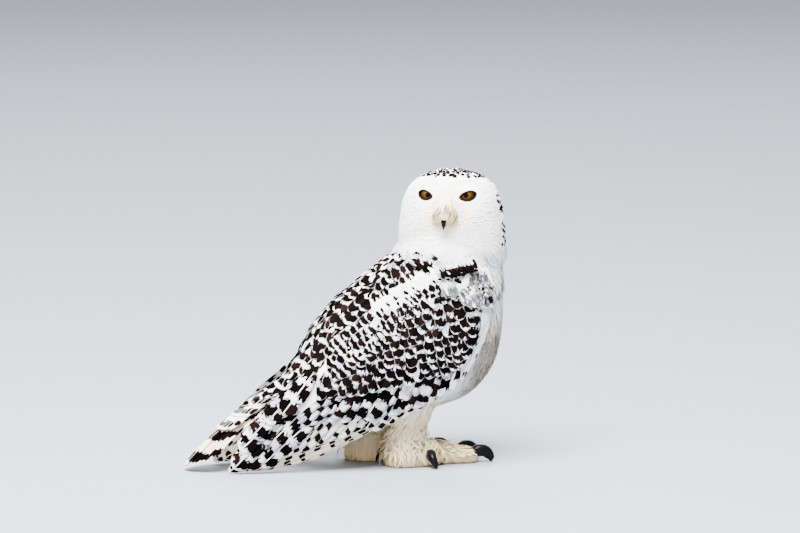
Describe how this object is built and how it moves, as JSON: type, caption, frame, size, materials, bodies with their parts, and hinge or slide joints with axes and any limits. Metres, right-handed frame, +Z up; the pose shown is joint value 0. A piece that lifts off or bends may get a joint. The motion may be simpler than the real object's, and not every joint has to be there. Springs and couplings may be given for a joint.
{
  "type": "snowy owl model",
  "caption": "Life-size still model of a standing snowy owl with spotted wings, its head turned back over one shoulder; display piece.",
  "frame": {"origin": "on the ground under the middle of the bird's bounding box, between the feet and the tail", "axes": "+X the way the body faces, from the tail to the breast; +Y to the bird's left; +Z up from the ground. The head is turned back to its right, towards -Y."},
  "size_m": [0.4691, 0.2182, 0.4215],
  "materials": {
    "white_feather": "soft white down and body feathers",
    "barred_feather": "white feathers with dark brown bars and spots",
    "cream_feather": "cream down on legs and toes",
    "horn": "black polished horn",
    "iris": "wet amber eye"
  },
  "bodies": {
    "root": {"head": "white_feather", "neck": "white_feather", "torso": "white_feather", "eye_right": "iris", "eye_left": "iris", "bill_upper": "horn", "bill_lower": "horn", "wing_right": "barred_feather", "wing_left": "barred_feather", "tail": "barred_feather", "leg_right": "cream_feather", "foot_right": "cream_feather", "claw_right_hallux": "horn", "claw_right_inner": "horn", "claw_right_middle": "horn", "claw_right_outer": "horn", "leg_left": "cream_feather", "foot_left": "cream_feather", "claw_left_hallux": "horn", "claw_left_inner": "horn", "claw_left_middle": "horn", "claw_left_outer": "horn"}
  },
  "joints": []
}
